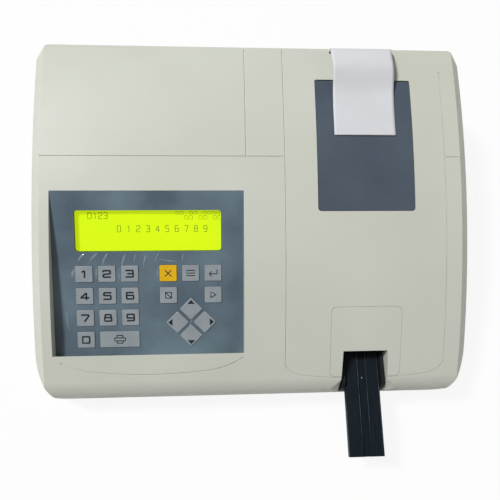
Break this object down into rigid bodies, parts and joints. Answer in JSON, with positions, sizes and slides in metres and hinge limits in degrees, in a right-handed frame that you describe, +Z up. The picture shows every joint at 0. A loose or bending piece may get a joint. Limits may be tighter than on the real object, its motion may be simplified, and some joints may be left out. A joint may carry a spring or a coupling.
{
  "type": "urine analyzer",
  "caption": "Bench-top urine strip analyzer: wedge housing with sloping keypad and display, motor-driven strip tray and thermal printer under a hinged hatch.",
  "frame": {"origin": "on the table plane, under the middle of the outline with the strip tray out as at rest", "axes": "+X to the right of a user at the keypad, +Y to the rear, +Z up"},
  "size_m": [0.397, 0.3754, 0.1422],
  "materials": {
    "shell": "warm off-white fine-textured moulded plastic",
    "hatch_blue": "fine-textured dark blue-grey plastic",
    "overlay_blue": "printed blue-grey sheet under clear film",
    "black_plastic": "black moulded plastic",
    "plated_steel": "zinc-plated sheet steel",
    "display": "yellow-green backlit display",
    "board_green": "green solder mask",
    "cable_grey": "grey flat cable",
    "tray_black": "blue-black satin plastic",
    "reference_white": "white reference tile",
    "inner_grey": "dark grey moulded plastic",
    "gear_white": "natural acetal",
    "motor_steel": "motor case",
    "lens_glass": "coated lens",
    "paper": "thermal paper",
    "head_aluminium": "aluminium heat sink",
    "roller_rubber": "ground rubber",
    "pinion_brass": "brass",
    "component_black": "component bodies",
    "core_steel": "laminated core and winding",
    "rocker_black": "rocker key",
    "foot_rubber": "rubber",
    "key_grey": "grey key caps",
    "key_amber": "amber key cap"
  },
  "bodies": {
    "housing": {"upper_housing": "shell", "lower_housing": "shell", "bay_cover": "shell", "keypad_overlay": "overlay_blue", "lcd_surround": "black_plastic", "lcd_bezel": "plated_steel", "lcd_glass": "display", "lcd_board": "board_green", "keypad_board": "board_green", "dome_switches": "plated_steel", "ribbon_cables": "cable_grey", "tray_guide": "inner_grey", "tray_motor": "motor_steel", "optical_head": "black_plastic", "reading_lens": "lens_glass", "paper_well": "inner_grey", "paper_web": "paper", "print_frame": "plated_steel", "thermal_head": "head_aluminium", "feed_motor": "motor_steel", "main_board": "board_green", "power_board": "board_green", "board_components": "component_black", "transformer": "core_steel", "inlet_socket": "black_plastic", "switch_case": "black_plastic", "data_port": "plated_steel", "rubber_feet": "foot_rubber", "housing_screws": "plated_steel"},
    "tray": {"strip_tray": "tray_black", "white_reference": "reference_white"},
    "drive_pinion": {"drive_pinion": "gear_white"},
    "hatch": {"printer_hatch": "hatch_blue"},
    "paper_tail": {"paper_tail": "paper"},
    "roll": {"paper_roll": "paper", "roll_spindle": "gear_white"},
    "platen": {"platen_roller": "roller_rubber", "platen_gear": "gear_white"},
    "feed_pinion": {"feed_pinion": "pinion_brass"},
    "rocker": {"power_rocker": "rocker_black"},
    "key_1": {"key_1": "key_grey"},
    "key_2": {"key_2": "key_grey"},
    "key_3": {"key_3": "key_grey"},
    "key_4": {"key_4": "key_grey"},
    "key_5": {"key_5": "key_grey"},
    "key_6": {"key_6": "key_grey"},
    "key_7": {"key_7": "key_grey"},
    "key_8": {"key_8": "key_grey"},
    "key_9": {"key_9": "key_grey"},
    "key_0": {"key_0": "key_grey"},
    "key_print": {"key_print": "key_grey"},
    "key_clear": {"key_clear": "key_amber"},
    "key_menu": {"key_menu": "key_grey"},
    "key_enter": {"key_enter": "key_grey"},
    "key_cancel": {"key_cancel": "key_grey"},
    "key_start": {"key_start": "key_grey"},
    "key_up": {"key_up": "key_grey"},
    "key_down": {"key_down": "key_grey"},
    "key_left": {"key_left": "key_grey"},
    "key_right": {"key_right": "key_grey"}
  },
  "joints": [
    {"name": "tray_slide", "type": "slide", "parent": "housing", "child": "tray", "axis": [0, 1, 0], "range_m": [0, 0.062]},
    {"name": "drive_spin", "type": "hinge", "parent": "housing", "child": "drive_pinion", "pos_m": [0.1015, -0.0475, 0.0319], "axis": [1, 0, 0], "range_deg": [-398, 2]},
    {"name": "hatch_hinge", "type": "hinge", "parent": "housing", "child": "hatch", "pos_m": [0.1015, 0.149, 0.12784], "axis": [-1, 0, 0], "range_deg": [0, 85]},
    {"name": "paper_lift", "type": "hinge", "parent": "housing", "child": "paper_tail", "pos_m": [0.1015, 0.1794, 0.1306], "axis": [-1, 0, 0], "range_deg": [0, 73]},
    {"name": "roll_spin", "type": "hinge", "parent": "housing", "child": "roll", "pos_m": [0.1015, 0.0905, 0.094], "axis": [1, 0, 0], "continuous": true},
    {"name": "platen_spin", "type": "hinge", "parent": "housing", "child": "platen", "pos_m": [0.1015, 0.1705, 0.11], "axis": [1, 0, 0], "continuous": true},
    {"name": "feed_spin", "type": "hinge", "parent": "housing", "child": "feed_pinion", "pos_m": [0.1015, 0.1705, 0.0972], "axis": [1, 0, 0], "continuous": true},
    {"name": "rocker_tilt", "type": "hinge", "parent": "housing", "child": "rocker", "pos_m": [-0.112, 0.18125, 0.052], "axis": [1, 0, 0], "range_deg": [0, 14]},
    {"name": "key_1_press", "type": "slide", "parent": "housing", "child": "key_1", "axis": [0, 0.3907, -0.9205], "range_m": [0, 0.0004], "stiffness_N_per_m": 6000},
    {"name": "key_2_press", "type": "slide", "parent": "housing", "child": "key_2", "axis": [0, 0.3907, -0.9205], "range_m": [0, 0.0004], "stiffness_N_per_m": 6000},
    {"name": "key_3_press", "type": "slide", "parent": "housing", "child": "key_3", "axis": [0, 0.3907, -0.9205], "range_m": [0, 0.0004], "stiffness_N_per_m": 6000},
    {"name": "key_4_press", "type": "slide", "parent": "housing", "child": "key_4", "axis": [0, 0.3907, -0.9205], "range_m": [0, 0.0004], "stiffness_N_per_m": 6000},
    {"name": "key_5_press", "type": "slide", "parent": "housing", "child": "key_5", "axis": [0, 0.3907, -0.9205], "range_m": [0, 0.0004], "stiffness_N_per_m": 6000},
    {"name": "key_6_press", "type": "slide", "parent": "housing", "child": "key_6", "axis": [0, 0.3907, -0.9205], "range_m": [0, 0.0004], "stiffness_N_per_m": 6000},
    {"name": "key_7_press", "type": "slide", "parent": "housing", "child": "key_7", "axis": [0, 0.3907, -0.9205], "range_m": [0, 0.0004], "stiffness_N_per_m": 6000},
    {"name": "key_8_press", "type": "slide", "parent": "housing", "child": "key_8", "axis": [0, 0.3907, -0.9205], "range_m": [0, 0.0004], "stiffness_N_per_m": 6000},
    {"name": "key_9_press", "type": "slide", "parent": "housing", "child": "key_9", "axis": [0, 0.3907, -0.9205], "range_m": [0, 0.0004], "stiffness_N_per_m": 6000},
    {"name": "key_0_press", "type": "slide", "parent": "housing", "child": "key_0", "axis": [0, 0.3907, -0.9205], "range_m": [0, 0.0004], "stiffness_N_per_m": 6000},
    {"name": "key_print_press", "type": "slide", "parent": "housing", "child": "key_print", "axis": [0, 0.3907, -0.9205], "range_m": [0, 0.0004], "stiffness_N_per_m": 6000},
    {"name": "key_clear_press", "type": "slide", "parent": "housing", "child": "key_clear", "axis": [0, 0.3907, -0.9205], "range_m": [0, 0.0004], "stiffness_N_per_m": 6000},
    {"name": "key_menu_press", "type": "slide", "parent": "housing", "child": "key_menu", "axis": [0, 0.3907, -0.9205], "range_m": [0, 0.0004], "stiffness_N_per_m": 6000},
    {"name": "key_enter_press", "type": "slide", "parent": "housing", "child": "key_enter", "axis": [0, 0.3907, -0.9205], "range_m": [0, 0.0004], "stiffness_N_per_m": 6000},
    {"name": "key_cancel_press", "type": "slide", "parent": "housing", "child": "key_cancel", "axis": [0, 0.3907, -0.9205], "range_m": [0, 0.0004], "stiffness_N_per_m": 6000},
    {"name": "key_start_press", "type": "slide", "parent": "housing", "child": "key_start", "axis": [0, 0.3907, -0.9205], "range_m": [0, 0.0004], "stiffness_N_per_m": 6000},
    {"name": "key_up_press", "type": "slide", "parent": "housing", "child": "key_up", "axis": [0, 0.3907, -0.9205], "range_m": [0, 0.0004], "stiffness_N_per_m": 6000},
    {"name": "key_down_press", "type": "slide", "parent": "housing", "child": "key_down", "axis": [0, 0.3907, -0.9205], "range_m": [0, 0.0004], "stiffness_N_per_m": 6000},
    {"name": "key_left_press", "type": "slide", "parent": "housing", "child": "key_left", "axis": [0, 0.3907, -0.9205], "range_m": [0, 0.0004], "stiffness_N_per_m": 6000},
    {"name": "key_right_press", "type": "slide", "parent": "housing", "child": "key_right", "axis": [0, 0.3907, -0.9205], "range_m": [0, 0.0004], "stiffness_N_per_m": 6000}
  ],
  "couplings": [
    {"joint": "drive_spin", "follows": "tray_slide", "rad_per_m": -111.11},
    {"joint": "paper_lift", "follows": "hatch_hinge", "ratio": 0.85},
    {"joint": "platen_spin", "follows": "roll_spin", "ratio": 3.9167},
    {"joint": "feed_spin", "follows": "roll_spin", "ratio": -6.5278}
  ]
}
